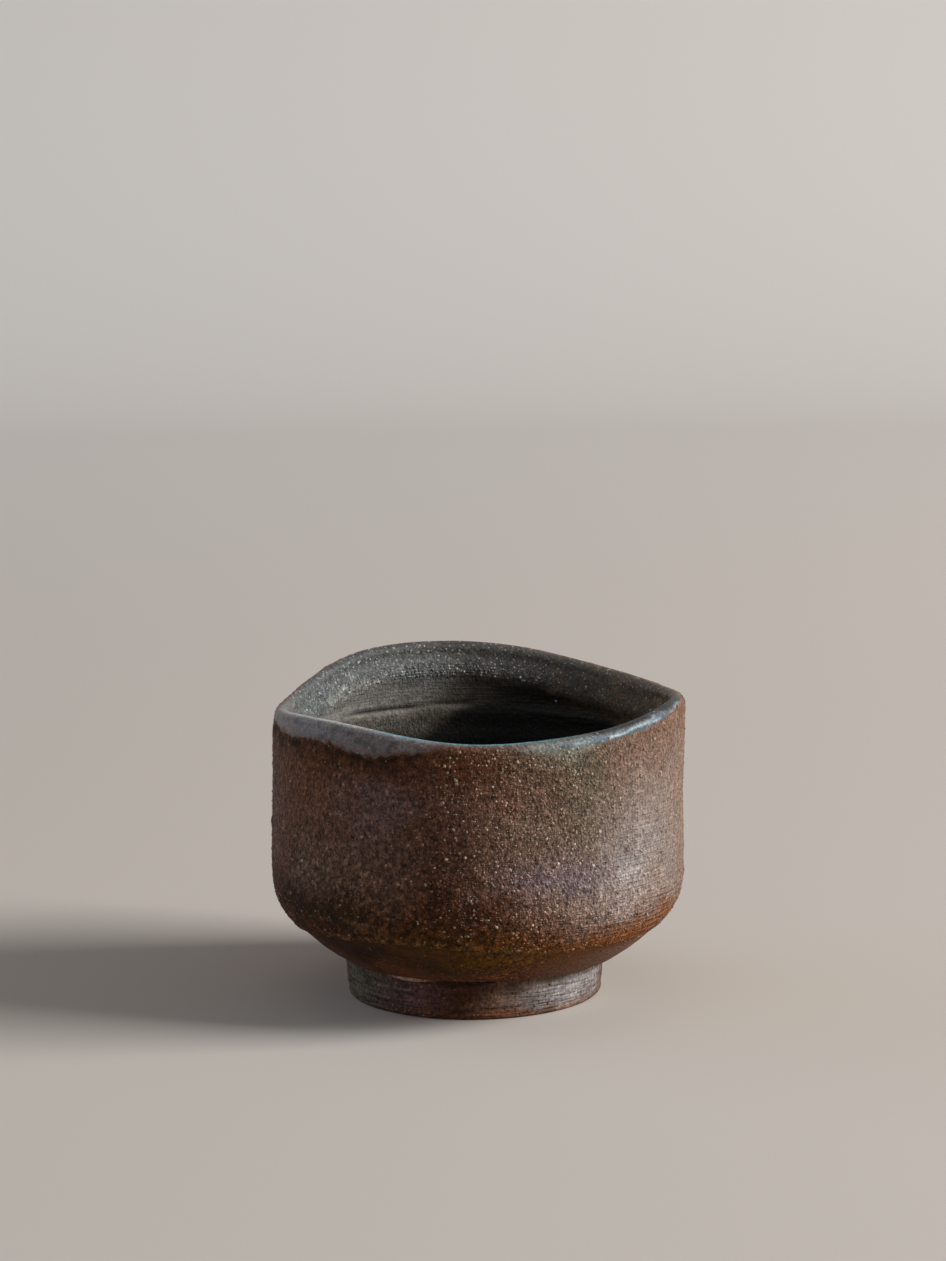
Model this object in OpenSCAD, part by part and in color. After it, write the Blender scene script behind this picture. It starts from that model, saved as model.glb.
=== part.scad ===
// A small thrown sake cup: a round bowl with a hand-altered, waving lip, set on a luted foot ring.
// Millimetres. The foot ring stands on z = 0 with its axis on the origin. +X is to the right.
// Directions round the mouth are in degrees, from +X towards +Y.

/* [Foot ring] */
// Outside diameter of the foot ring where it stands
foot_d = 42.8; // [38:0.2:46]
// Outside diameter of the foot ring at its top, under the bowl
foot_top_d = 43.6; // [38:0.2:46]
// Height of the foot ring
foot_h = 6.8; // [4:0.1:10]
// Width of the foot ring at its resting face
foot_w = 4.2; // [2.6:0.1:6]
// How much wider the ring is at its top than at its resting face
foot_flare = 1.2; // [0:0.1:2.4]
// Worn rounding of the two edges that meet the table
foot_edge = 0.7; // [0.2:0.1:1.2]

/* [Luting slip] */
// Thickness of the slip that joins the foot ring to the bowl
slip_t = 0.3; // [0.1:0.05:0.6]
// How far the squeezed-out slip stands proud of the foot ring
slip_bead = 0.35; // [0.3:0.05:0.6]

/* [Bowl outside] */
// Flat land that shows under the bowl, outside the slip
land_w = 0.45; // [0.1:0.05:1.2]
// Diameter of the soft edge between the trimmed underside and the shoulder
trim_d = 60.6; // [54:0.2:64]
// Height of that edge above the foot joint
trim_h = 4.9; // [3:0.1:8]
// Outward swell of the trimmed underside
trim_swell = 0.6; // [0:0.1:1.6]
// Largest outside diameter, low on the wall
belly_d = 69.6; // [66:0.2:78]
// Height of the largest diameter above the foot joint
belly_h = 16.5; // [12:0.1:22]
// Outside diameter under the lip
neck_d = 69.4; // [66:0.2:76]
// How far the wall draws in between belly and lip
waist = 0.2; // [0:0.05:1]
// Distance of the bowl's underside from the foot ring's axis, to the right
bowl_shift = 1; // [0:0.1:2]
// How much further right the bowl stands at its lip
bowl_lean = 0.35; // [0:0.05:1]
// How far the bowl's middle bows back to the left
bowl_bow = 0.35; // [0:0.05:1]

/* [Lip] */
// Mean height of the lip's crest above the foot joint
lip_h = 43.5; // [36:0.5:52]
// Thickness of the lip, which is rounded over
lip_t = 2.6; // [2:0.1:3.2]
// Depth below the crest over which the outside leans in
lean_depth = 3.4; // [2:0.1:6]
// How far the outside leans in over that depth
lip_lean = 0.3; // [0:0.05:1]
// Height of the wave that rises once round the mouth
wave_1 = 2; // [0:0.05:3]
// Direction of its high point
wave_1_at = 93; // [0:1:359]
// Height of the wave that rises twice
wave_2 = 0.9; // [0:0.05:1.5]
// Direction of one of its high points
wave_2_at = 105; // [0:1:179]
// Height of the wave that rises three times
wave_3 = 1.3; // [0:0.05:1.5]
// Direction of one of its high points
wave_3_at = 104; // [0:1:119]
// Height of the wave that rises four times
wave_4 = 0.25; // [0:0.05:0.6]
// Direction of one of its high points
wave_4_at = 42; // [0:1:89]
// Height of the wave that rises five times
wave_5 = 0.2; // [0:0.05:0.4]
// Direction of one of its high points
wave_5_at = 63; // [0:1:71]
// Height of the wave that rises seven times
wave_7 = 0.1; // [0:0.05:0.3]
// Direction of one of its high points
wave_7_at = 33; // [0:1:50]

/* [Bowl inside] */
// Thickness of the wall
wall_t = 3.1; // [2.4:0.1:4.2]
// Depth inside the crest of the ridge left by the finger that closed the lip
ridge_depth = 5.2; // [4:0.1:8]
// How far that ridge stands in from the wall
ridge_in = 0.8; // [0:0.1:1.5]
// Depth over which the wall falls back below the ridge
ridge_fall = 3.2; // [2:0.1:6]
// Thickness of the floor at its centre
floor_t = 3.9; // [3:0.1:6]
// Height of the round between the floor and the wall
floor_round = 13; // [8:0.5:18]
// Dip of the floor's middle
floor_dip = 0.7; // [0:0.1:1.5]
// Hollow of the underside inside the foot ring
base_hollow = 0.9; // [0.2:0.1:1.5]
// Height of the throwing ridges on the inner wall
throw_h = 0.12; // [0:0.02:0.3]
// Rise of the throwing ridges in one turn
throw_pitch = 4.6; // [3:0.1:8]

/* [Ash glaze] */
// Thickness of the natural ash glaze on the lip
glaze_t = 0.25; // [0.1:0.05:0.4]
// Mean reach of the glaze down the outside, below the rounded lip
glaze_out = 1.1; // [0.9:0.1:2]
// How much that reach grows and shrinks round the mouth
glaze_out_wave = 0.8; // [0:0.1:0.8]
// Direction of the longest reach outside
glaze_out_at = 225; // [0:1:359]
// Mean reach of the glaze down the inside, below the rounded lip
glaze_in = 2.8; // [2:0.1:4]
// How much that reach grows and shrinks round the mouth
glaze_in_wave = 1; // [0:0.1:1.5]
// Direction of the longest reach inside
glaze_in_at = 120; // [0:1:359]

/* [Smoothness] */
// Points round the bowl
around = 80; // [40:8:88]

/* [Hidden] */

// Radii and heights that follow from the sizes
foot_r = foot_d/2;
foot_top_r = foot_top_d/2;
foot_in_r = foot_r - foot_w;
foot_top_in_r = foot_top_r - foot_w - foot_flare;
slip_r = foot_top_r + slip_bead;
joint_z = foot_h + slip_t;
land_r = slip_r + bowl_shift + land_w;
trim_r = trim_d/2;
trim_z = joint_z + trim_h;
belly_r = belly_d/2;
belly_z = joint_z + belly_h;
neck_r = neck_d/2;
base_z = joint_z + base_hollow;
floor_z = base_z + floor_t;
floor_edge_z = floor_z + floor_dip;
wall_foot_z = floor_edge_z + floor_round;
lip_r = lip_t/2;

// How square the shoulder is, and how square the round inside it: 2 is an ellipse
shoulder_power = 3.3;
floor_power = 2.3;

// Rows of points over each stretch of the bowl's outline
base_rows = 3;
trim_rows = 5;
shoulder_rows = 8;
wall_rows = 8;
glaze_rows = 3;
crest_rows = 6;
inner_rows = 11;
round_rows = 8;
floor_rows = 3;

arc_steps = 6;
step = 360/around;

// Runs from 0 to 1 without a corner at either end
function ease(u) = let (v = min(1, max(0, u))) v*v*(3 - 2*v);

// Points along an arc about c
function arc(c, r, from, to) =
    [for (i = [0:arc_steps]) let (a = from + (to - from)*i/arc_steps) c + r*[cos(a), sin(a)]];

// Height of the lip's crest in direction a: six waves on the mean height
function crest_z(a) =
    joint_z + lip_h + wave_1*cos(a - wave_1_at) + wave_2*cos(2*(a - wave_2_at))
    + wave_3*cos(3*(a - wave_3_at)) + wave_4*cos(4*(a - wave_4_at))
    + wave_5*cos(5*(a - wave_5_at)) + wave_7*cos(7*(a - wave_7_at));

// How far the outside leans in at a depth below the crest
function lean(depth) = lip_lean*pow(max(0, 1 - depth/lean_depth), 2);

// Outside radius of the shoulder and the wall at height z in direction a
function outer_r(z, a) =
    z < belly_z
    ? belly_r - (belly_r - trim_r)*pow((belly_z - z)/belly_drop, shoulder_power)
    : let (t = (z - belly_z)/(crest_z(a) - belly_z))
      belly_r + (neck_r - belly_r)*t - waist*sin(180*t) - lean(crest_z(a) - z);
belly_drop = belly_z - trim_z;

// Thickness of the wall at a depth below the crest: the lip, the finger ridge and the plain wall
function thickness(depth) =
    depth < ridge_depth
    ? lip_t + (wall_t + ridge_in - lip_t)*ease((depth - lip_r)/(ridge_depth - lip_r))
    : wall_t + ridge_in*(1 - ease((depth - ridge_depth)/ridge_fall));

// Inside radius at height z in direction a, with the throwing ridges spiralling up the plain wall
function inner_r(z, a) =
    let (depth = crest_z(a) - z, plain = ease((depth - ridge_depth)/ridge_fall))
    outer_r(z, a) - thickness(depth)
    - throw_h*plain*sin(360*(z - wall_foot_z)/throw_pitch - a);

// Depths below the crest that the ash glaze reaches, outside and inside
function glaze_outer(a) = lip_r + glaze_out + glaze_out_wave*cos(a - glaze_out_at);
function glaze_inner(a) = lip_r + glaze_in + glaze_in_wave*cos(a - glaze_in_at);

// How far right of the foot ring's axis the bowl stands at height z
function bowl_x(z) =
    let (u = (z - joint_z)/lip_h) bowl_shift + bowl_lean*u - bowl_bow*sin(180*min(1, max(0, u)));

// Outline of the underside, from its hollow centre over the flat land to the trimmed edge.
// Each point of an outline is a radius, a height and the place of its centre along X.
function base_outline() = concat(
    [for (i = [1:base_rows])
        let (u = i/base_rows) [foot_top_in_r*u, base_z - base_hollow*u*u, 0]],
    [for (i = [0:trim_rows])
        let (u = i/trim_rows, z = joint_z + trim_h*u)
        [land_r + (trim_r - land_r)*u + trim_swell*sin(180*u), z, bowl_x(z)]]);

// Outline of the outside from the trimmed edge up to the edge of the glaze
function outside_outline(a) =
    let (top = crest_z(a) - glaze_outer(a)) concat(
    [for (i = [1:shoulder_rows])
        let (z = trim_z + belly_drop*i/shoulder_rows) [outer_r(z, a), z, bowl_x(z)]],
    [for (i = [1:wall_rows - 1])
        let (z = belly_z + (top - belly_z)*i/wall_rows) [outer_r(z, a), z, bowl_x(z)]]);

// Outline of the lip under the glaze: up the outside, over the round and down the inside
function lip_outline(a) =
    let (top = crest_z(a),
         out = glaze_outer(a),
         in = glaze_inner(a),
         turn_z = top - lip_r,
         turn_r = outer_r(turn_z, a) - lip_r) concat(
    [for (i = [0:glaze_rows - 1])
        let (z = top - out + (out - lip_r)*i/glaze_rows) [outer_r(z, a), z, bowl_x(z)]],
    [for (i = [0:crest_rows])
        let (b = 180*i/crest_rows) [turn_r + lip_r*cos(b), turn_z + lip_r*sin(b), bowl_x(turn_z)]],
    [for (i = [1:glaze_rows])
        let (z = turn_z - (in - lip_r)*i/glaze_rows) [inner_r(z, a), z, bowl_x(z)]]);

// Outline of the inside from the edge of the glaze down to the floor
function inside_outline(a) =
    let (top = crest_z(a) - glaze_inner(a),
         side_r = inner_r(wall_foot_z, a),
         flat_r = side_r - floor_round) concat(
    [for (i = [1:inner_rows])
        let (z = top + (wall_foot_z - top)*i/inner_rows) [inner_r(z, a), z, bowl_x(z)]],
    [for (i = [1:round_rows])
        let (b = 90*i/round_rows, z = wall_foot_z - floor_round*pow(sin(b), 2/floor_power))
        [flat_r + floor_round*pow(cos(b), 2/floor_power), z, bowl_x(z)]],
    [for (i = [1:floor_rows - 1])
        let (u = 1 - i/floor_rows, z = floor_z + floor_dip*u*u) [flat_r*u, z, bowl_x(z)]]);

// Point of an outline in direction a
function place(p, a) = [p[2] + p[0]*cos(a), p[0]*sin(a), p[1]];

// The same row of every direction's outline, one ring after another
function rings(outlines) =
    [for (i = [0:len(outlines[0]) - 1]) for (j = [0:around - 1]) place(outlines[j][i], j*step)];

// Two triangles for each cell between ring i and ring k, clockwise from outside.
// other turns the cell's diagonal.
function band(i, k, other) = [for (j = [0:around - 1])
    let (a = i*around + j,
         b = i*around + (j + 1)%around,
         c = k*around + (j + 1)%around,
         d = k*around + j)
    each (other ? [[a, d, b], [b, d, c]] : [[a, d, c], [a, c, b]])];

// The bowl's clay: rings from the hollow underside over the lip to the floor, closed at two centres
module bowl() {
    outlines = [for (j = [0:around - 1]) let (a = j*step)
        concat(base_outline(), outside_outline(a), lip_outline(a), inside_outline(a))];
    count = len(outlines[0]);
    under = count*around;
    over = under + 1;
    points = concat(rings(outlines), [[0, 0, base_z], [bowl_x(floor_z), 0, floor_z]]);
    faces = concat(
        [for (j = [0:around - 1]) [under, j, (j + 1)%around]],
        [for (i = [0:count - 2]) each band(i, i + 1, false)],
        [for (j = [0:around - 1])
            [(count - 1)*around + j, over, (count - 1)*around + (j + 1)%around]]);
    color("#5f4538") polyhedron(points, faces);
}

// The foot ring: a trimmed ring, thicker at its top, with worn resting edges
module foot_ring() {
    color("#75645e") rotate_extrude($fn = around)
        polygon(concat(
            arc([foot_in_r + foot_edge, foot_edge], foot_edge, 180, 270),
            arc([foot_r - foot_edge, foot_edge], foot_edge, 270, 360),
            [[foot_top_r, foot_h], [foot_top_in_r, foot_h]]));
}

// The luting slip: a thin washer between foot ring and bowl, with a squeezed-out round edge
module joint_slip() {
    color("#93836f") rotate_extrude($fn = around)
        polygon(concat(
            [[foot_top_in_r, joint_z], [foot_top_in_r, foot_h]],
            arc([slip_r - slip_t/2, foot_h + slip_t/2], slip_t/2, -90, 90)));
}

// A lip outline pushed out along its normals, to nothing at both ends
function glazed(line) = let (last = len(line) - 1) [for (i = [1:last - 1])
    let (ahead = line[i + 1], behind = line[i - 1],
         run = [ahead[0] - behind[0], ahead[1] - behind[1]],
         u = 2*i/last - 1,
         t = glaze_t*(1 - pow(u, 6))/norm(run))
    [line[i][0] + run[1]*t, line[i][1] - run[0]*t, line[i][2]]];

// The ash glaze: its outer skin runs over the lip, and its underside is the clay's own surface
module lip_ash_glaze() {
    outlines = [for (j = [0:around - 1])
        let (line = lip_outline(j*step), last = len(line) - 1)
        concat([line[0]], glazed(line), [for (i = [last:-1:1]) line[i]])];
    count = len(outlines[0]);
    edge = count/2;
    faces = [for (i = [0:count - 1]) each band(i, (i + 1)%count, i >= edge)];
    color("#7f8d8f") polyhedron(rings(outlines), faces);
}

bowl();
foot_ring();
joint_slip();
lip_ash_glaze();
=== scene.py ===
import math
from itertools import product

import bpy
import numpy as np
from mathutils import Euler, Matrix, Vector


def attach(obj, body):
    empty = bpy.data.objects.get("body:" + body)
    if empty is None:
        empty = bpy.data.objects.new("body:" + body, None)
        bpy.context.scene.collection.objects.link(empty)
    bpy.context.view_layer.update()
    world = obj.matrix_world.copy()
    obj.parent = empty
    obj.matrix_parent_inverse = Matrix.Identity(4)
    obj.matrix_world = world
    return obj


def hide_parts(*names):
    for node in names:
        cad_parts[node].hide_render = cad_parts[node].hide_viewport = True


# A wood-fired sake cup: sandy stoneware bowl, luted foot ring and natural ash glaze on a hand-altered lip.
# Shapes are worked out in millimetres and written to the meshes in metres.
# Directions round the cup are degrees from +X towards +Y, so the photographed side is at -90.

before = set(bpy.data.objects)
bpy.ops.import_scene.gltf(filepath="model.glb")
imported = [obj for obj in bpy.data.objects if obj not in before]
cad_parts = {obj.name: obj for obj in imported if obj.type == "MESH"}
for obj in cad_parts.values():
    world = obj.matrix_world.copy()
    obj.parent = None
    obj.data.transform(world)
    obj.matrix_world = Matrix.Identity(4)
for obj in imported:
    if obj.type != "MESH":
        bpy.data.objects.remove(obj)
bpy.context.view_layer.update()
mm = 0.001
print("frame loaded:", sorted(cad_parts))


# Small tools

def linear(hexColour):
    # sRGB hex to the linear colour that the shaders use
    parts = [int(hexColour[i:i + 2], 16)/255 for i in (1, 3, 5)]
    return np.array([p/12.92 if p <= 0.04045 else ((p + 0.055)/1.055)**2.4 for p in parts])


def ease(u):
    # runs from 0 to 1 without a corner at either end: v*v*(3 - 2v)
    v = np.clip(u, 0, 1)
    return v*v*(3 - 2*v)


def cosd(angle):
    return np.cos(np.radians(angle))


def sind(angle):
    return np.sin(np.radians(angle))


def bell(x, middle, spread):
    # a bell curve, 1 at its middle
    return np.exp(-((x - middle)/spread)**2)


def turnedAway(angle, middle):
    # how far a direction lies from a middle one, in degrees from -180 to 180
    return (angle - middle + 180) % 360 - 180


def facing(angle, middle, spread):
    # a bell curve over directions
    return bell(turnedAway(angle, middle), 0, spread)


def hashed(cell, seed):
    # a number from 0 to 1 for each whole lattice cell, always the same for the same cell and seed
    h = (cell[..., 0]*73856093) ^ (cell[..., 1]*19349663) ^ (cell[..., 2]*83492791) ^ (seed*26544357)
    h = ((h ^ (h >> 13))*1274126177) & 0xffffffff
    return ((h ^ (h >> 16)) & 0xffff)/0xffff


def lattice(points, size):
    # the whole cell that each point lies in, for cells of that size in mm, and its place inside
    scaled = points/np.asarray(size, float) + 57.3
    cell = np.floor(scaled).astype(np.int64)
    return cell, scaled - cell


def roughNoise(points, size, seed):
    # lattice noise from -1 to 1: the hashed values at a cell's corners, blended across it
    cell, inside = lattice(points, size)
    inside = ease(inside)
    total = np.zeros(points.shape[:-1])
    for corner in product((0, 1), repeat=3):
        total += hashed(cell + corner, seed)*np.prod(np.where(corner, inside, 1 - inside), axis=-1)
    return 2*total - 1


def sandBed(points, size, seed):
    # a bed of sand: each cell holds one grain at a hashed place. Gives how near the closest grain's middle is,
    # from 0 in the gaps to 1 on its top, and that grain's own hashed number
    cell, inside = lattice(points, size)
    nearest = np.full(points.shape[:-1], 9.0)
    own = np.zeros(points.shape[:-1])
    for corner in product((-1, 0, 1), repeat=3):
        place = np.stack([hashed(cell + corner, seed + k) for k in range(3)], -1) + corner - inside
        away = np.sum(place*place, -1)
        own = np.where(away < nearest, hashed(cell + corner, seed + 3), own)
        nearest = np.minimum(away, nearest)
    return ease(1.15 - 1.3*np.sqrt(nearest)), own


def gridNormals(p):
    # outward normals of a closed-round grid: tangent round the axis crossed with tangent along the outline
    along = np.gradient(p, axis=0)
    around = np.roll(p, -1, 1) - np.roll(p, 1, 1)
    n = np.cross(around, along)
    return n/np.maximum(np.linalg.norm(n, axis=-1, keepdims=True), 1e-12)


def ringFaces(rows, count, closed=False):
    # one quad for each cell between neighbouring rings, counter-clockwise from outside
    i, j = np.meshgrid(np.arange(rows if closed else rows - 1), np.arange(count), indexing="ij")
    a, b = i*count + j, i*count + (j + 1) % count
    d, c = ((i + 1) % rows)*count + j, ((i + 1) % rows)*count + (j + 1) % count
    return np.stack([a, b, c, d], -1).reshape(-1, 4)


def swept(section, centre, count):
    # carries a section of radius and height round the upright axis, as a grid of points and their directions
    a = np.arange(count)*360/count
    r, z = section[:, :1], section[:, 1:]
    grid = np.stack([centre + r*cosd(a), r*sind(a), z + 0*a], -1)
    return grid, np.broadcast_to(a, grid.shape[:2])


def wrapped(p, along, tall):
    # a place for noise that runs round the cup in lines: long round the axis, short up it
    a = np.arctan2(p[..., 1], p[..., 0])
    return np.stack([np.cos(a)*30/along, np.sin(a)*30/along, p[..., 2]/tall], -1)


def newPiece(name, points, faces, tone, finish, material):
    # puts a finished surface into a mesh in metres, with its colour and its finish at every point
    mesh = bpy.data.meshes.new(name)
    sizes = np.concatenate([np.full(len(f), f.shape[1]) for f in faces])
    corners = np.concatenate([f.ravel() for f in faces])
    mesh.vertices.add(len(points))
    mesh.vertices.foreach_set("co", (points*mm).astype(np.float32).ravel())
    mesh.loops.add(len(corners))
    mesh.loops.foreach_set("vertex_index", corners.astype(np.int32))
    mesh.polygons.add(len(sizes))
    mesh.polygons.foreach_set("loop_start", (np.cumsum(sizes) - sizes).astype(np.int32))
    mesh.polygons.foreach_set("use_smooth", np.ones(len(sizes), bool))
    mesh.update(calc_edges=True)
    for label, values in (("firedTone", tone), ("skinFinish", finish)):
        layer = mesh.color_attributes.new(label, "FLOAT_COLOR", "POINT")
        layer.data.foreach_set("color", np.c_[values, np.ones(len(values))].astype(np.float32).ravel())
    mesh.validate()
    piece = bpy.data.objects.new(name, mesh)
    bpy.context.scene.collection.objects.link(piece)
    mesh.materials.append(material)
    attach(piece, "root")
    print("made", name, len(points), "points")
    return piece


def put(tree, kind, inputs=None, **settings):
    # adds a node with its settings and gives back its outputs. An input that is another node's output is
    # linked, and any other is set to its value
    node = tree.nodes.new(kind)
    for key, value in settings.items():
        setattr(node, key, value)
    for key, value in (inputs or {}).items():
        if isinstance(value, bpy.types.NodeSocket):
            tree.links.new(value, node.inputs[key])
        else:
            node.inputs[key].default_value = value
    return node.outputs


def perMm(size):
    # texture scale, in repeats a metre, whose features are about that many mm across
    return 1/(size*mm)


# The camera, at the photograph's angle

view = dict(lens=105, sensor=36, place=(0.00036, -0.60755, 0.15882), down=9.108, turn=-0.65)
camera = bpy.data.objects.new("camera", bpy.data.cameras.new("camera"))
camera.data.lens = view["lens"]
camera.data.sensor_width = view["sensor"]
camera.data.clip_start = 0.01
tilt = Euler((math.radians(90 - view["down"]), 0, 0)).to_matrix().to_4x4()
turnedUp = Matrix.Rotation(math.radians(view["turn"]), 4, "Z")
camera.matrix_world = Matrix.Translation(view["place"]) @ tilt @ turnedUp
bpy.context.scene.collection.objects.link(camera)
bpy.context.scene.camera = camera


# The bowl's own shape, as the construction has it, in mm and degrees

cup = dict(
    footD=42.8, footTopD=43.6, footH=6.8, footW=4.2, footFlare=1.2, footEdge=0.7,
    slipT=0.3, slipBead=0.35,
    landW=0.45, trimD=60.6, trimH=4.9, trimSwell=0.6, bellyD=69.6, bellyH=16.5, neckD=69.4, waist=0.2,
    shift=1, lean=0.35, bow=0.35, shoulderPower=3.3,
    lipH=43.5, lipT=2.6, lipLeanDepth=3.4, lipLean=0.3,
    waves=((1, 2, 93), (2, 0.9, 105), (3, 1.3, 104), (4, 0.25, 42), (5, 0.2, 63), (7, 0.1, 33)),
    wallT=3.1, ridgeDepth=5.2, ridgeIn=0.8, ridgeFall=3.2, floorT=3.9, floorRound=13, floorPower=2.3,
    floorDip=0.7, baseHollow=0.9, throwH=0.12, throwPitch=4.6)
net = dict(around=520, hollow=5, land=3, trim=15, shoulder=29, wall=66, lip=12, inside=40, round=8, floor=5,
           finer=(0.425, 0.5, 10))
footTopInR = cup["footTopD"]/2 - cup["footW"] - cup["footFlare"]
jointZ = cup["footH"] + cup["slipT"]
landR = cup["footTopD"]/2 + cup["slipBead"] + cup["shift"] + cup["landW"]
trimZ = jointZ + cup["trimH"]
bellyR, bellyZ = cup["bellyD"]/2, jointZ + cup["bellyH"]
baseZ = jointZ + cup["baseHollow"]
floorZ = baseZ + cup["floorT"]
wallFootZ = floorZ + cup["floorDip"] + cup["floorRound"]

# Where a finger wiped and bevelled the lip at the front left: middle, spread, inward lean, depth and thinning
wipe = dict(at=-141, spread=34, leanIn=0.95, depth=4.2, thin=0.25)


def wiped(a):
    # 1 in the middle of the wiped stretch of the lip, falling to 0 past its ends
    return ease(1.45 - np.abs(turnedAway(a, wipe["at"]))/wipe["spread"])


def crestZ(a):
    # height of the lip's crest: six waves on the mean height
    return jointZ + cup["lipH"] + sum(h*cosd(n*(a - at)) for n, h, at in cup["waves"])


def outerR(z, a):
    # outside radius of shoulder and wall: a rounded-square shoulder, then a nearly straight wall that leans in
    # over the last few mm, and more where the lip was wiped
    deep = crestZ(a) - z
    fall = np.maximum((bellyZ - z)/(bellyZ - trimZ), 0)
    shoulder = bellyR - (bellyR - cup["trimD"]/2)*fall**cup["shoulderPower"]
    t = np.clip((z - bellyZ)/(crestZ(a) - bellyZ), 0, 1)
    lean = cup["lipLean"]*np.maximum(0, 1 - deep/cup["lipLeanDepth"])**2
    lean = lean + wipe["leanIn"]*wiped(a)*np.maximum(0, 1 - deep/wipe["depth"])**1.3
    wall = bellyR + (cup["neckD"]/2 - bellyR)*t - cup["waist"]*sind(180*t) - lean
    return np.where(z < bellyZ, shoulder, wall)


def lipR(a):
    return cup["lipT"]/2 - wipe["thin"]*wiped(a)


def innerR(z, a):
    # inside radius: outside less the wall's thickness, less the throwing ridges that spiral up the plain wall
    deep = crestZ(a) - z
    fall = ease((deep - cup["ridgeDepth"])/cup["ridgeFall"])
    lipT = 2*lipR(a)
    full = cup["wallT"] + cup["ridgeIn"]
    swelling = lipT + (full - lipT)*ease((deep - lipT/2)/(cup["ridgeDepth"] - lipT/2))
    thick = np.where(deep < cup["ridgeDepth"], swelling, full - cup["ridgeIn"]*fall)
    return outerR(z, a) - thick - cup["throwH"]*fall*sind(360*(z - wallFootZ)/cup["throwPitch"] - a)


def bowlX(z):
    # how far right of the foot ring's axis the bowl stands at that height
    u = (z - jointZ)/cup["lipH"]
    return cup["shift"] + cup["lean"]*u - cup["bow"]*sind(180*np.clip(u, 0, 1))


def bowlOutline(a):
    # every row of the bowl's outline in the directions a, from the hollow underside over the lip to the floor:
    # radius, height and the centre's place along X
    rows = []

    def add(r, z, x=None):
        z = z + 0*a
        rows.append((r + 0*a, z, bowlX(z) if x is None else x + 0*a))

    for u in np.linspace(0.12, 1, net["hollow"]):
        add(footTopInR*u, baseZ - cup["baseHollow"]*u*u, 0)
    for u in np.linspace(0, 1, net["land"] + 2)[1:-1]:
        add(footTopInR + (landR - footTopInR)*u, jointZ, cup["shift"]*u)
    for u in np.linspace(0, 1, net["trim"]):
        add(landR + (cup["trimD"]/2 - landR)*u + cup["trimSwell"]*sind(180*u), jointZ + cup["trimH"]*u)
    for u in np.linspace(0, 1, net["shoulder"] + 1)[1:]:
        z = trimZ + (bellyZ - trimZ)*u
        add(outerR(z + 0*a, a), z)
    turnZ = crestZ(a) - lipR(a)
    for u in np.linspace(0, 1, net["wall"] + 2)[1:-1]:
        z = bellyZ + (turnZ - bellyZ)*u
        add(outerR(z, a), z)
    turnR = outerR(turnZ, a) - lipR(a)
    for b in np.linspace(0, 180, net["lip"] + 1):
        add(turnR + lipR(a)*cosd(b), turnZ + lipR(a)*sind(b), bowlX(turnZ))
    # the rows down the inside lie closer together where the finger groove runs
    down = np.concatenate([np.linspace(0, 1, net["inside"] + 1)[1:], np.linspace(*net["finer"])])
    for t in np.unique(np.round(down, 6)):
        z = turnZ + (wallFootZ - turnZ)*(0.5*t + 0.5*t*t)
        add(innerR(z, a), z)
    flatR = innerR(wallFootZ + 0*a, a) - cup["floorRound"]
    power = 2/cup["floorPower"]
    for b in np.linspace(0, 90, net["round"] + 1)[1:]:
        add(flatR + cup["floorRound"]*cosd(b)**power, wallFootZ - cup["floorRound"]*sind(b)**power)
    for u in np.linspace(1, 0, net["floor"] + 2)[1:-1]:
        add(flatR*u, floorZ + cup["floorDip"]*u*u)
    return [np.array(part) for part in zip(*rows)]


angles = np.arange(net["around"])*360/net["around"]
radius, height, middle = bowlOutline(angles)
smooth = np.stack([middle + radius*cosd(angles), radius*sind(angles), height], -1)
outward = gridNormals(smooth)
rowCount = len(smooth)
crestRow = int(np.argmax(height[:, 0]))
depth = crestZ(angles)[None, :] - height
direction = np.broadcast_to(angles, height.shape)
rowNumber = np.arange(rowCount)[:, None] + 0*height
inside = (rowNumber > crestRow)*1.0
print("bowl grid", smooth.shape, "crest row", crestRow)


# How the thrown and trimmed clay departs from the plain shape, in mm along the normal

clay = dict(
    lump=(15, 0.09), dent=(6, 0.06), sand=(0.85, 0.12), grit=(2.3, 0.05), turning=(0.7, 0.05), set=0.1,
    ledge=dict(low=12.3, rise=2.5, at=-112, spread=38, step=0.5, bead=0.25),
    groove=dict(strokes=((122, 13, 43.2, 1), (99, 7, 43.5, 0.6)), tall=0.4, deep=0.5, line=0.22))

# Pits where grit was dragged out or a bubble burst: direction, height, width and depth
pits = [(-126, 32.2, 0.4, 0.3), (-102, 33, 0.38, 0.3), (-46, 29, 0.45, 0.25), (-50, 22.2, 0.35, 0.22),
        (-42, 19.2, 0.35, 0.25), (-137, 27.5, 0.35, 0.2), (-88, 38.6, 0.3, 0.2), (-30, 41, 0.4, 0.2),
        (-20, 25, 0.35, 0.2), (35, 30, 0.45, 0.3), (100, 24, 0.4, 0.3), (160, 38, 0.45, 0.3)]
# Bumps that stand out of the wall: direction, height, width and rise
bumps = [(-174, 30.2, 0.8, 0.3), (-74, 29.5, 0.45, 0.15), (-3, 20.5, 0.7, 0.2), (3, 24, 0.6, 0.15),
         (140, 20, 0.8, 0.2)]


def spots(a, z, places):
    # a bell-shaped spot at each place of the outside, with its own size and height
    total = 0
    for at, up, size, rise in places:
        along = np.radians(turnedAway(a, at))*bellyR
        total = total + rise*np.exp(-(along**2 + (z - up)**2)/size**2)
    return total


def ledgeAt(a):
    # height of the soft ledge where the trimming tool stopped
    ledge = clay["ledge"]
    return ledge["low"] + ledge["rise"]*facing(a, ledge["at"], ledge["spread"])


def grooveTrack(a, z, tall):
    # 1 along the middle of the finger groove inside the left wall, drawn in two strokes
    total = 0
    for at, wide, up, strength in clay["groove"]["strokes"]:
        total = total + strength*np.exp(-(turnedAway(a, at)/wide)**4)*bell(z, up, tall)
    return total


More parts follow.
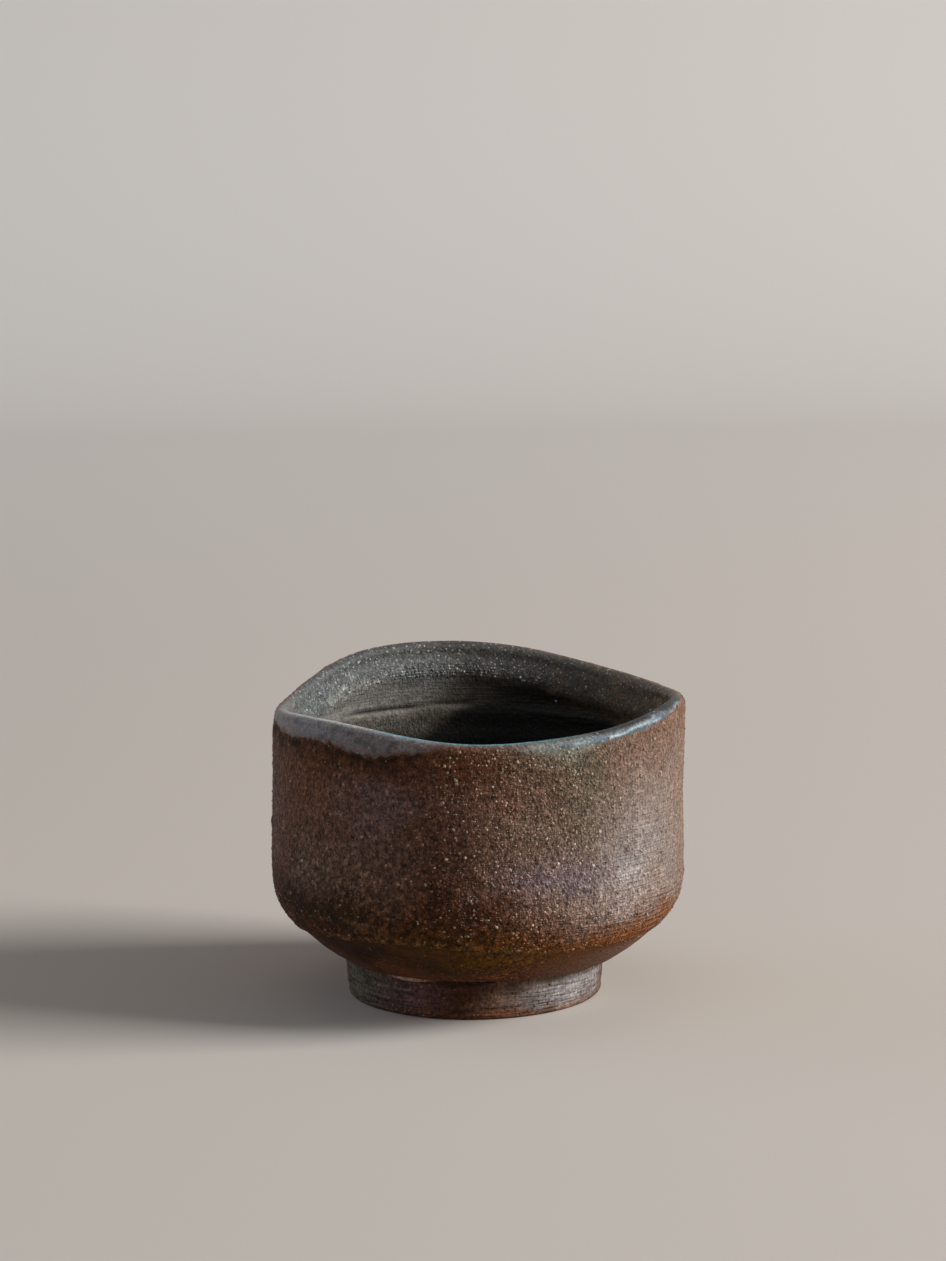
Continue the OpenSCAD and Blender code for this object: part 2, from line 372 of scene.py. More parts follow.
def aboveLedge(a, z):
    # 0 on the smoothly trimmed clay under the ledge, 1 on the sandy wall over it and where it runs out in front
    return np.maximum(ease((z - ledgeAt(a) + 0.3)/0.9), facing(a, -84, 15))


def clayRelief(p, a, z, deep, within):
    # soft lumps from the hand, a bed of sand in the skin, turning lines that run round, the trimming ledge,
    # one finger groove inside, and single pits and bumps
    lumps = clay["lump"][1]*roughNoise(p, clay["lump"][0], 1) + clay["dent"][1]*roughNoise(p, clay["dent"][0], 2)
    top, own = sandBed(p, clay["sand"][0], 3)
    rubbed = (1 - 0.45*facing(a, -25, 30))*(0.3 + 0.7*aboveLedge(a, z))
    sanded = np.where(within > 0, 0.75 - 0.6*ease((deep - 5)/2), rubbed)
    grain = clay["sand"][1]*(top*(0.3 + 0.9*own) - 0.4)*sanded
    coarse = clay["grit"][1]*roughNoise(p, clay["grit"][0], 8)*sanded
    low = ease((26 - z)/12)*(1 - within)
    lines = clay["turning"][1]*roughNoise(wrapped(p, 9, clay["turning"][0]), 1, 9)
    ledge = clay["ledge"]
    above = z - ledgeAt(a)
    cut = ledge["step"]*(ease(above/0.5) - 1)*ease((z - jointZ)/4) + ledge["bead"]*bell(above, 0.45, 0.5)
    cut = cut*(1 - 0.7*facing(a, -84, 15))*(0.3 + 0.7*facing(a, -112, 42))
    outer = (1 - within)*(cut + spots(a, z, bumps) - spots(a, z, pits) - clay["set"])
    turning = lines*(0.3 + low + 0.4*within)*(1 - 0.7*within*ease((deep - 8)/6))
    groove = clay["groove"]
    return lumps + grain + coarse + turning + outer - groove["deep"]*grooveTrack(a, z, groove["tall"])*within


relief = clayRelief(smooth, direction, height, depth, inside)
seat = np.where(rowNumber < net["hollow"] + net["land"] + 1, 0, ease((height - jointZ)/1.2))
relief = relief*np.maximum(seat, inside)
bowlPoints = smooth + outward*relief[..., None]


# How far the ash melted down from the lip's crest

stepLength = np.linalg.norm(np.diff(smooth, axis=0), axis=-1)
walked = np.concatenate([0*stepLength[:1], np.cumsum(stepLength, 0)])
across = walked[crestRow] - walked              # mm over the lip from its crest, outwards positive


def meltReach(a):
    # how far the melt runs from the crest, outside and inside, in mm
    out = 1.0 + 3.2*wiped(a) + 1.0*facing(a, -117, 14) + 2.9*facing(a, -67, 13) + 1.7*facing(a, -36, 20)
    within = 2.2 + 3.0*facing(a, 105, 65)
    return out, within


def meltLeft(p, a, s):
    # mm of melt left before its ragged edge, and less than 0 on bare clay
    out, within = meltReach(a)
    ragged = 0.4*roughNoise(p, 2.6, 21) + 0.5*roughNoise(p, 0.9, 22)
    return np.where(s > 0, out, within) + ragged - np.abs(s)


spare = meltLeft(smooth, direction, across)


# Flame and ash marks, and the lamp's sheen painted in as a highlight. Each is the direction and height of its middle,
# its spread round and up, its strength and its colour

bodyColour = linear("#86624f")
flashesAndSheen = [
    ((-24, 32), (46, 17), 0.95, "#a08f84"),       # pale rose right side
    ((-80, 35), (15, 10), 0.7, "#8f796e"),        # warm brown middle
    ((-62, 38), (14, 11), 0.65, "#6f6b5c"),       # olive ash
    ((-66, 44), (12, 4), 0.5, "#6c6f5c"),
    ((-69, 47.2), (13, 1.7), 0.7, "#868f84"),     # grey-green crumbs of ash under the lip
    ((-120, 31), (22, 9), 0.7, "#7f726e"),        # violet cloud on the left
    ((-118, 40), (15, 6.5), 0.85, "#887d85"),
    ((-98, 31), (7, 8), 0.65, "#5c4034"),         # smoke beside it
    ((-141, 26), (15, 4.5), 0.8, "#81766c"),      # grey patch low on the left
    ((-170, 34), (14, 18), 0.75, "#8a7872"),      # paler at the far left edge
    ((-124, 46), (36, 2.8), 0.85, "#6a462e"),     # scorched under the wiped lip
    ((-98, 44.5), (13, 4), 0.8, "#6e4a33"),
    ((-84, 38.5), (5, 1.6), 0.25, "#94483a"),     # red flash near the middle
    ((-88, 22), (15, 4.4), 0.9, "#5f3623"),
    ((-80, 17.5), (14, 3), 0.6, "#5e3a1e"),
    ((-101, 23.5), (9, 6), 0.65, "#462916"),      # dark run of smoke left of it
    ((-108, 17.5), (12, 3.5), 0.7, "#4a3010"),
    ((-66, 26.3), (13, 3.2), 0.85, "#928590"),    # violet where the shoulder turns
    ((-40, 29), (15, 10), 0.8, "#aba6a6"),        # painted highlight: the lamp's whitish sheen on the half-melted ash
    ((-47, 25), (8, 3.6), 0.7, "#cfd0d4"),
    ((-43, 20.5), (20, 3.2), 0.75, "#baaba7"),
    ((-48, 14.5), (38, 3.0), 0.9, "#a2683a"),     # orange low on the right
    ((-92, 13.5), (30, 3.4), 0.9, "#725617"),     # khaki over the foot
    ((-77, 13.6), (11, 1.8), 0.5, "#a88f66"),
    ((-136, 18.5), (28, 4.4), 0.9, "#453017"),    # darker low on the left, under the belly
    ((-151, 19.5), (17, 4.2), 0.8, "#2b1b0c"),
    ((-129, 17.3), (8, 1.6), 0.5, "#84705a"),
    ((-132, 12), (28, 2.8), 0.95, "#2b0f00"),
    ((-106, 10), (16, 2), 0.8, "#3a2a0c"),
    ((40, 31), (30, 12), 0.8, "#a08b7c"),         # the back goes on in the same few tones
    ((88, 42), (38, 5), 0.7, "#8c8873"),
    ((112, 28), (30, 9), 0.8, "#978a90"),
    ((75, 16), (50, 3.6), 0.85, "#a2683a"),
    ((140, 15), (30, 3.6), 0.85, "#4e3018"),
    ((155, 38), (22, 8), 0.7, "#9c9280"),
    ((130, 47), (60, 2.2), 0.7, "#5d3d2a"),
]


def mixIn(colour, share, hexColour):
    return colour + np.asarray(share)[..., None]*(linear(hexColour) - colour)


def marked(base, p, a, z, marks, loose):
    # mixes every mark into the base colour by a bell curve over warped direction and height
    colour = np.broadcast_to(base, p.shape).copy()
    warpA = loose*(2.4*roughNoise(p, 9, 11) + 1.3*roughNoise(p, 3.5, 12) + 0.8*roughNoise(p, 1.4, 10))
    warpZ = loose*(0.7*roughNoise(p, 9, 13) + 0.4*roughNoise(p, 3.5, 14) + 0.3*roughNoise(p, 1.4, 17))
    for (at, up), (wide, tall), strength, tone in marks:
        share = strength*facing(a + warpA, at, wide)*bell(z + warpZ, up, tall)
        colour = mixIn(colour, share, tone)
    return colour


def outsideColour(p, a, z, left):
    # the flashed body; on the wiped lip a dark band past the melt's edge with a line of painted shadow right under
    # it;
    # painted shade and a painted highlight along the trimming ledge; painted shade in the pits
    colour = marked(bodyColour, p, a, z, flashesAndSheen, 3)
    patchy = np.clip(0.65 + 0.8*roughNoise(p, 1.1, 18), 0, 1)
    underMeltDarkAndShadow = ease(1.6*wiped(a))*patchy
    # a dark brown band past the melt's edge, and right under the edge a near-black line of painted shadow
    colour = mixIn(colour, 0.75*underMeltDarkAndShadow*bell(left, -1.1, 1.3), "#35200c")
    colour = mixIn(colour, underMeltDarkAndShadow*bell(left, -0.35, 0.45), "#140a05")
    # along the trimming ledge: a dark line of painted shade just under the step, and a pale line of painted highlight
    # over its crest
    under = ledgeAt(a) - z
    colour = mixIn(colour, 0.8*patchy*bell(under, 0.3, 0.4)*facing(a, -115, 45), "#1d0f06")
    colour = mixIn(colour, 0.75*patchy*bell(under, -0.6, 0.45)*facing(a, -104, 42), "#a3906b")
    # painted shade: the pits are darkened near-black
    return mixIn(colour, np.clip(3*spots(a, z, pits), 0, 0.85), "#170f0b")


def insideColour(p, a, z, deep):
    # rough ash over the first mm under the lip; pale grey ash on the left, painted paler where the lamp reaches in;
    # an olive-brown wall on the right; near-black painted shade over the right wall and deep down; painted shade and
    # highlight along the finger groove
    warp = 1.2*roughNoise(p, 6, 15) + 0.6*roughNoise(p, 2, 16)
    colour = np.broadcast_to(linear("#5f5a52"), p.shape).copy()
    # pale grey ash on the left wall, painted paler as a pool of light where the lamp reaches in, its edge cut sharp
    # like a shadow's
    left = ease((turnedAway(a, 91) + 5*warp)/16)*ease((62 - turnedAway(a, 180) + 3*warp)/30)
    left = left*(0.62 + 0.38*facing(a, 143, 24))
    right = facing(a, 20, 40)
    colour = mixIn(colour, left*ease((15 - deep + 2*warp)/9), "#989895")
    colour = mixIn(colour, left*ease((6.8 - deep + 1.5*warp)/2.5), "#757d80")
    colour = mixIn(colour, ease((5.7 - deep + 0.5*warp)/0.7)*(1 - left)*0.85, "#585958")
    colour = mixIn(colour, right*0.9, "#685948")
    colour = mixIn(colour, 0.7*right*ease((roughNoise(p, 1.2, 19) - 0.1)/0.3), "#93795a")
    crumbs = ease((roughNoise(p, 0.9, 20) - 0.15)/0.25)*facing(a, 138, 16)*bell(deep, 4.5, 2.5)
    colour = mixIn(colour, 0.5*crumbs, "#c9cfca")
    colour = mixIn(colour, 0.6*ease((4.6 - deep)/3.6)*facing(a, 122, 34), "#23221f")
    # painted shade: the right wall lies in shadow under its first mm, and from a depth that runs deeper to the left
    # the whole inside darkens to near-black, the floor a little less
    shadowedRight = facing(a, 60, 24)*(1 - 0.4*facing(a, 55, 12)*ease((10 - deep)/3))
    shadowFrom = 8 + 6*ease(turnedAway(a, 88)/24)*ease((180 - turnedAway(a, 88))/40)
    shade = ease((deep + warp - 5.7)/1.2)*shadowedRight + ease((deep + warp - shadowFrom)/4)
    colour = mixIn(colour, np.clip(shade, 0, 0.97)*(1 - 0.35*ease((deep - 18)/8)), "#0e0d0c")
    groove = clay["groove"]
    # a pale line of painted highlight just below the groove, and a near-black line of painted shade in it
    colour = mixIn(colour, 0.35*grooveTrack(a, z + 0.7, groove["tall"]), "#a39d90")
    return mixIn(colour, np.clip(1.2*grooveTrack(a, z, groove["line"]), 0, 0.97), "#0a0807")


fired = np.where(inside[..., None] > 0, insideColour(smooth, direction, height, depth),
                 outsideColour(smooth, direction, height, spare))
# painted shade darkens the gaps of the sand bed, and each grain has its own tone; both most of all low down and on
# the left
bedTop, bedOwn = sandBed(smooth, clay["sand"][0], 3)
gapShadeAndGrainTone = 0.25*bedTop + 0.35*bedTop*(bedOwn - 0.4) - 0.13
coarsened = facing(direction, -130, 45)*(1.5 + 2.5*bell(height, 20, 8)) \
    + 3.4*facing(direction, -98, 40)*bell(height, 14, 6)
coarsened = (1 + (1 - inside)*coarsened)*(0.25 + 0.75*np.maximum(aboveLedge(direction, height), inside))
fired = fired*np.clip(1.03 + coarsened*gapShadeAndGrainTone, 0.3, 2)[..., None]

# The finish's three channels: how glassy the ash has melted, how many feldspar grains show, and turning lines
sandyOut = aboveLedge(direction, height)
melt = np.where(inside > 0, 0.4 + 0.5*ease((depth - 5)/3)*ease((15 - depth)/5),
                0.65*facing(direction, -34, 22)*bell(height, 30, 16) + 0.5*(1 - sandyOut))
toFront = turnedAway(direction, -79) + 3*roughNoise(smooth, 5, 27)
crowded = ease((toFront + 25)/6)*ease((30 - toFront)/16)
feldspar = np.where(
    inside > 0, 0.9*facing(direction, 100, 70)*ease((6 - depth)/1.5) + 0.05*(depth < 10),
    0.1 + 0.9*crowded*ease((height - 13)/4) + 0.25*facing(direction, -40, 40)
    + 0.4*facing(direction, -140, 30)*bell(height, 22, 7))
turned = np.where(inside > 0, 0.35*ease((16 - depth)/8),
                  0.2 + 0.8*ease((26 - height)/10) + 0.65*facing(direction, -34, 24)*ease((40 - height)/10))
finish = np.stack([melt, feldspar, turned], -1)


# Wood-fired sandy stoneware, thrown and left unglazed: a dry, sandpaper-like skin whose iron flashed red, brown
# and violet, with white feldspar breaking through and a faint sheen where ash settled and began to melt

def stoneware(name, grain=0.45, rise=0.5, lineRise=0.5, dry=0.85, melted=0.4, level=0.2, speckTone="#e2d6c4",
              speckShare=0.18, pinholes=0.7, upright=0.62):
    material = bpy.data.materials.new(name)
    material.use_nodes = True
    tree = material.node_tree
    shader = tree.nodes["Principled BSDF"]
    shader.inputs["IOR"].default_value = 1.5
    shader.inputs["Specular IOR Level"].default_value = level
    place = put(tree, "ShaderNodeTexCoord")["Object"]
    tone = put(tree, "ShaderNodeAttribute", attribute_name="firedTone")["Color"]
    skin = put(tree, "ShaderNodeAttribute", attribute_name="skinFinish")["Color"]
    melt, feldspar, turned = put(tree, "ShaderNodeSeparateColor", {0: skin})
    # sharp sand: a rough noise as fine as the sand, and cells that are each one coarser grain of its own height
    cells = put(tree, "ShaderNodeTexVoronoi", {"Vector": place, "Scale": perMm(grain)})
    ownHeight, ownPick, ownWhite = put(tree, "ShaderNodeSeparateColor", {0: cells["Color"]})
    top = put(tree, "ShaderNodeMapRange", {0: cells["Distance"], 1: 0.12, 2: 0.72, 3: 1, 4: 0})[0]
    raised = put(tree, "ShaderNodeMath", {0: top, 1: ownHeight}, operation="MULTIPLY")[0]
    tall = put(tree, "ShaderNodeVectorMath", {0: place, 1: (1, 1, upright)}, operation="MULTIPLY")[0]
    fine = put(tree, "ShaderNodeTexNoise", {"Vector": tall, "Scale": perMm(0.5), "Detail": 3,
                                            "Roughness": 0.75})["Fac"]
    cloud = put(tree, "ShaderNodeTexNoise", {"Vector": place, "Scale": perMm(2.6), "Detail": 4,
                                             "Roughness": 0.65})["Fac"]
    sandy = put(tree, "ShaderNodeMapRange", {0: melt, 3: 1, 4: 0.25})[0]
    # painted shade: the gaps between the cells and the lower grains are darker; the fine noise and the cloud vary the
    # tone at random
    grainGapShade = put(tree, "ShaderNodeMapRange", {0: raised, 2: 0.6, 3: 0.85, 4: 1.3})[0]
    fineShade = put(tree, "ShaderNodeMapRange", {0: fine, 1: 0.34, 2: 0.66, 3: 0.25, 4: 1.75})[0]
    cloudShade = put(tree, "ShaderNodeMapRange", {0: cloud, 1: 0.3, 2: 0.7, 3: 0.82, 4: 1.18})[0]
    shade = put(tree, "ShaderNodeMath", {0: grainGapShade, 1: fineShade}, operation="MULTIPLY")[0]
    shade = put(tree, "ShaderNodeMix", {0: sandy, 2: 1, 3: shade})[0]
    shade = put(tree, "ShaderNodeMath", {0: shade, 1: cloudShade}, operation="MULTIPLY")[0]
    # pinholes: a few small pits where bubbles burst or grit was dragged out, dented and darkened with painted shade
    holes = put(tree, "ShaderNodeTexVoronoi", {"Vector": place, "Scale": perMm(1.7)})
    hole = put(tree, "ShaderNodeMapRange", {0: holes["Distance"], 1: 0.1, 2: 0.17, 3: pinholes, 4: 0})[0]
    pinholeDentAndShade = put(tree, "ShaderNodeMath", {0: hole, 1: turned}, operation="MULTIPLY")[0]
    shade = put(tree, "ShaderNodeMath", {0: shade, 1: pinholeDentAndShade}, operation="SUBTRACT", use_clamp=False)[0]
    shade = put(tree, "ShaderNodeMath", {0: shade, 1: 0.15}, operation="MAXIMUM")[0]
    shaded = put(tree, "ShaderNodeVectorMath", {0: tone, "Scale": shade}, operation="SCALE")[0]
    # feldspar: some grains are white, more of them where the finish's second channel is high
    wanted = put(tree, "ShaderNodeMath", {0: feldspar, 1: speckShare}, operation="MULTIPLY")[0]
    chosen = put(tree, "ShaderNodeMath", {0: ownPick, 1: wanted}, operation="LESS_THAN")[0]
    dot = put(tree, "ShaderNodeMapRange", {0: cells["Distance"], 1: 0.2, 2: 0.42, 3: 1, 4: 0})[0]
    white = put(tree, "ShaderNodeMapRange", {0: ownWhite, 3: 0.2, 4: 0.95})[0]
    share = put(tree, "ShaderNodeMath", {0: chosen, 1: dot}, operation="MULTIPLY")[0]
    share = put(tree, "ShaderNodeMath", {0: share, 1: white}, operation="MULTIPLY")[0]
    colour = put(tree, "ShaderNodeMix", {0: share, 6: shaded, 7: (*linear(speckTone), 1)}, data_type="RGBA")[2]
    # dry clay scatters, half-melted ash shines, both a little unevenly
    shine = put(tree, "ShaderNodeMath", {0: cloud, 1: 0.3, 2: melt}, operation="MULTIPLY_ADD")[0]
    rough = put(tree, "ShaderNodeMapRange", {0: shine, 1: 0.1, 2: 1.1, 3: dry, 4: melted})[0]
    # sand stands out where the skin is dry, and turning lines run round where the tool passed
    around = put(tree, "ShaderNodeVectorMath", {0: place, 1: (0.07, 0.07, 1)}, operation="MULTIPLY")[0]
    lines = put(tree, "ShaderNodeTexNoise", {"Vector": around, "Scale": perMm(0.45), "Roughness": 0.5})["Fac"]
    lined = put(tree, "ShaderNodeMath", {0: lines, 1: turned}, operation="MULTIPLY")[0]
    lined = put(tree, "ShaderNodeMath", {0: lined, 1: lineRise}, operation="MULTIPLY")[0]
    relief = put(tree, "ShaderNodeMath", {0: raised, 1: 0.3, 2: fine}, operation="MULTIPLY_ADD")[0]
    relief = put(tree, "ShaderNodeMath", {0: relief, 1: sandy}, operation="MULTIPLY")[0]
    relief = put(tree, "ShaderNodeMath", {0: relief, 1: rise, 2: lined}, operation="MULTIPLY_ADD")[0]
    relief = put(tree, "ShaderNodeMath", {0: pinholeDentAndShade, 1: -0.2, 2: relief}, operation="MULTIPLY_ADD")[0]
    bump = put(tree, "ShaderNodeBump", {"Height": relief, "Distance": mm})[0]
    for socket, output in (("Base Color", colour), ("Roughness", rough), ("Normal", bump)):
        tree.links.new(output, shader.inputs[socket])
    return material


# The thrown bowl, closed at the middle of its underside and of its floor

bodyClay = stoneware("wood fired stoneware")
under, over = rowCount*net["around"], rowCount*net["around"] + 1
j = np.arange(net["around"])
k = (j + 1) % net["around"]
last = (rowCount - 1)*net["around"]
caps = np.concatenate([np.stack([under + 0*j, k, j], -1), np.stack([last + j, last + k, over + 0*j], -1)])
points = np.concatenate([bowlPoints.reshape(-1, 3), [[0, 0, baseZ], [bowlX(floorZ), 0, floorZ]]])


def capped(values):
    # one value for every grid point, and the first and last rows' values for the two middles
    return np.concatenate([values.reshape(-1, 3), values[0, :1], values[-1, :1]])


bowlFaces = [ringFaces(rowCount, net["around"]), caps]
thrownBowl = newPiece("thrownBowl", points, bowlFaces, capped(fired), capped(finish), bodyClay)
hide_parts("bowl")


# Feldspar, quartz and sand grains that stand half out of the clay: most are clay-coloured, and the white ones
# crowd at the front

grit = dict(count=9600, small=0.12, large=0.33, flat=0.8, sunk=0.3, pale=0.26)
sand = dict(count=20000, small=0.13, large=0.24, flat=0.75, sunk=0.35, pale=0.03)
chance = np.random.default_rng(5)
# The largest white grains, by direction and height
largest = [(-100, 45), (-99, 42), (-96, 42.8), (-97, 34.8), (-94, 30.2), (-90, 31.2), (-86, 27.8), (-82, 28),
           (-84, 25.2), (-89, 26.8), (-62, 28.2), (-67, 29.2), (-58, 27.5), (-88, 34.8), (-72, 32.8), (-56, 33),
           (-55, 44.2), (-64, 31.5), (-134, 35.5), (-82, 16.8), (-76, 19), (-86, 19), (-97, 19), (-123, 32.5),
           (-86, 47.6), (-49, 37.8), (-34, 24.5), (-147, 26.8)]


def icoGrain():
    # a twenty-faced ball of radius 1
    t = (1 + 5**0.5)/2
    v = np.array([(-1, t, 0), (1, t, 0), (-1, -t, 0), (1, -t, 0), (0, -1, t), (0, 1, t), (0, -1, -t), (0, 1, -t),
                  (t, 0, -1), (t, 0, 1), (-t, 0, -1), (-t, 0, 1)], float)
    f = np.array([(0, 11, 5), (0, 5, 1), (0, 1, 7), (0, 7, 10), (0, 10, 11), (1, 5, 9), (5, 11, 4), (11, 10, 2),
                  (10, 7, 6), (7, 1, 8), (3, 9, 4), (3, 4, 2), (3, 2, 6), (3, 6, 8), (3, 8, 9), (4, 9, 5),
                  (2, 4, 11), (6, 2, 10), (8, 6, 7), (9, 8, 1)])
    return v/np.linalg.norm(v[0]), f


def sharpGrain():
    # an eight-faced grain of radius 1, a point each way along the three axes
    v = np.array([(1, 0, 0), (-1, 0, 0), (0, 1, 0), (0, -1, 0), (0, 0, 1), (0, 0, -1)], float)
    f = np.array([(0, 2, 4), (2, 1, 4), (1, 3, 4), (3, 0, 4), (2, 0, 5), (1, 2, 5), (3, 1, 5), (0, 3, 5)])
    return v, f


def scatterGrains(grain, weights, kind, placed=()):
    # picks places on the bowl's grid by weight and puts a squashed, turned and partly sunk grain at each, clay-
    # coloured or white. The first ones are large and white, in the given directions and heights. Gives the
    # points, faces, colours and finish
    ball, faces = grain
    count = kind["count"]
    picked = chance.choice(weights.size, count, p=(weights/weights.sum()).ravel())
    i, j = np.array(np.unravel_index(picked, weights.shape))
    for n, (at, up) in enumerate(placed):
        j[n] = round(at % 360/360*net["around"])
        i[n] = np.argmin(np.abs(height[:crestRow, j[n]] - up))
    first = np.arange(count) < len(placed)
    slide = chance.random((count, 1))
    centre = bowlPoints[i, j]*slide + bowlPoints[i, (j + 1) % net["around"]]*(1 - slide)
    normal = outward[i, j]
    size = kind["small"] + (kind["large"] - kind["small"])*chance.random(count)**2.2
    size = np.where(first, kind["large"], size)
    side = np.cross(normal, chance.normal(size=(count, 3)))
    side /= np.linalg.norm(side, axis=1, keepdims=True)
    axes = np.stack([side, np.cross(normal, side), normal], 1)
    stretch = size[:, None]*(0.75 + 0.5*chance.random((count, 3)))*(1, 1, kind["flat"])
    lumpy = np.clip(1 + 0.16*chance.normal(size=(count, len(ball), 1)), 0.7, 1.35)
    local = np.einsum("nvk,nkx->nvx", ball[None]*stretch[:, None]*lumpy, axes)
    at = (centre - normal*(size*kind["sunk"])[:, None])[:, None] + local
    where = np.arange(count)[:, None, None]*len(ball) + faces[None]
    white = whiteTones[chance.choice(len(whiteTones), count, p=(0.3, 0.3, 0.25, 0.15))]
    # the ash inside the mouth leaves the grains a cooler white
    white = np.where(inside[i, j][:, None] > 0, white*(0.8, 0.97, 1.12), white)
    own = fired[i, j]*(0.75 + 0.9*chance.random((count, 1))**1.5)
    isWhite = (first | (chance.random(count) < kind["pale"]*(0.15 + 1.1*feldspar[i, j])))[:, None]
    strength = np.maximum(0.4 + 0.6*chance.random((count, 1)), 0.95*first[:, None])
    tone = np.repeat(np.where(isWhite, own + strength*(white - own), own), len(ball), 0)
    shine = np.repeat(np.where(isWhite, 0.6, 0.25), len(ball), 0)*np.ones(3)
    return at.reshape(-1, 3), where.reshape(-1, 3), tone, shine


whiteTones = np.array([linear(t) for t in ("#e6ded0", "#d0c5b4", "#b9afa4", "#f2eee6")])
crusted = (depth < 5.8)*ease((depth + 0.6)/3)*(0.35 + 3.2*facing(direction, 112, 46))
withinBare = crusted + 0.5*(depth < 9)*facing(direction, 20, 30)
bare = np.where(inside > 0, withinBare, sandyOut)*(depth > 0.9)
unmelted = np.maximum(spare < 0.2, facing(direction, -68, 14) > 0.25)
crowd = bare*np.where(inside > 0, 1, unmelted)*(0.5 + 0.8*facing(direction, -82, 30) + 0.6*inside)
gritPoints, gritFaces, gritTone, gritFinish = scatterGrains(icoGrain(), crowd, grit, largest)
gritty = np.where(inside > 0, 0, sandyOut*unmelted*(depth > 0.7))*(1 - 0.6*facing(direction, -28, 26))
sandPoints, sandFaces, sandTone, sandFinish = scatterGrains(sharpGrain(), gritty, sand)


# Quartz and feldspar grit, cracked and half fused into the skin: pale, faceted and a little glassy

def fusedGrit():
    material = bpy.data.materials.new("fused feldspar grit")
    material.use_nodes = True
    tree = material.node_tree
    shader = tree.nodes["Principled BSDF"]
    shader.inputs["IOR"].default_value = 1.52
    shader.inputs["Specular IOR Level"].default_value = 0.4
    tone = put(tree, "ShaderNodeAttribute", attribute_name="firedTone")["Color"]
    place = put(tree, "ShaderNodeTexCoord")["Object"]
    mottle = put(tree, "ShaderNodeTexNoise", {"Vector": place, "Scale": perMm(0.25)})["Fac"]
    shade = put(tree, "ShaderNodeMapRange", {0: mottle, 3: 0.6, 4: 1.4})[0]
    rough = put(tree, "ShaderNodeMapRange", {0: mottle, 3: 0.4, 4: 0.75})[0]
    colour = put(tree, "ShaderNodeVectorMath", {0: tone, "Scale": shade}, operation="SCALE")[0]
    tree.links.new(colour, shader.inputs["Base Color"])
    tree.links.new(rough, shader.inputs["Roughness"])
    return material


gritClay = fusedGrit()
feldsparGrit = newPiece("feldsparGrit", gritPoints, [gritFaces], gritTone, gritFinish, gritClay)
sharpSand = newPiece("sharpSand", sandPoints, [sandFaces], sandTone, sandFinish, gritClay)


# The ash glaze: a lens of melted ash over the lip, thick over the crest and thinning to a ragged edge

ash = dict(over=0.11, sunk=0.16, under=0.3, deepOut=5.6, deepIn=6.4)
firstRow = int(np.argmin(np.abs(depth[:crestRow, 0] - ash["deepOut"])))
lastRow = crestRow + int(np.argmin(np.abs(depth[crestRow:, 0] - ash["deepIn"])))
band = slice(firstRow, lastRow + 1)
lipSmooth, lipNormals = smooth[band], outward[band]
lipInside, lipDirection = inside[band], direction[band]
lipAcross, lipSpare = across[band], spare[band]
cover = ease(lipSpare/0.6)
crumbly = facing(lipDirection, -67, 15)*ease(lipAcross - 0.2)       # thin, over sand that still stands out
edgeRow = np.minimum(np.arange(len(cover)), np.arange(len(cover))[::-1])[:, None]
top = ash["over"]*(1 - 0.85*crumbly)
skin = np.where(edgeRow < 2, -ash["sunk"], -ash["sunk"] + (top + ash["sunk"])*cover)
filled = 1 - 0.65*ease(lipSpare/1.6)*(1 - crumbly)
glazeTop = lipSmooth + lipNormals*(relief[band]*filled + skin)[..., None]
glazeUnder = lipSmooth + lipNormals*(relief[band] - ash["under"])[..., None]
glazeGrid = np.concatenate([glazeTop, glazeUnder[::-1]])


def glazeColour(p, a, s, left, wall):
    # grey and satin where wiped, with a painted highlight along its inner edge; along the crest at the front a thin
    # green-blue line, a painted highlight tinted like the ash glaze, with grey-green crumbs under it; on the right a
    # dark inner edge, and lower down a pale line, a painted highlight in broken streaks; everywhere else it thins out
    # over the wall
    broken = np.clip(0.5 + 0.8*roughNoise(p, 1.1, 24), 0, 1)
    crumbs = np.clip(0.5 + 1.1*roughNoise(p, 0.8, 26), 0, 1)
    thick = ease(left/0.9 + 0.9*(crumbs - 0.45))
    colour = wall.copy()
    wipedHere = ease(1.6*wiped(a))
    colour = mixIn(colour, wipedHere*thick*(s > -0.9)*(0.85 + 0.15*crumbs), "#85858d")
    colour = mixIn(colour, 0.6*wipedHere*ease((broken - 0.84)/0.12)*(s > 0.6), "#2b2019")
    a = a + 4*roughNoise(p, 4, 23)
    # painted highlight along the crest's inner edge on the wiped lip
    paintedCrestHighlight = facing(a, -140, 26)*bell(s, 0.05, 0.55)
    colour = mixIn(colour, 0.95*paintedCrestHighlight, "#dbe0df")
    colour = mixIn(colour, facing(a, -67, 13)*thick*crumbs*ease((4.2 - s)/2.5)*(s > 0), "#868f84")
    # painted highlight: a thin green-blue line along the crest at the front
    frontCrestHighlight = ease((turnedAway(a, -122) + 2)/14)*ease(-turnedAway(a, -58)/14)*bell(s, 0, 0.36)
    colour = mixIn(colour, 0.9*frontCrestHighlight, "#5aadc6")
    right = np.clip(1.7*facing(a, -36, 28), 0, 1)
    uneven = s + 0.4*roughNoise(p, 2.2, 28)
    drawn = roughNoise(np.stack([cosd(a)*15, sind(a)*15, s/0.45], -1), 1, 29)
    colour = mixIn(colour, 0.95*right*ease((1.15 - uneven)/0.5)*ease((s + 2.4)/0.8), "#262f34")
    # painted highlight: broken blue-white streaks lower on the right lip
    rightLipHighlight = right*bell(uneven, 1.6, 0.6)
    colour = mixIn(colour, 0.9*rightLipHighlight, "#4b7d99")
    return mixIn(colour, 0.9*rightLipHighlight*ease(drawn/0.5), "#d2ebf5")


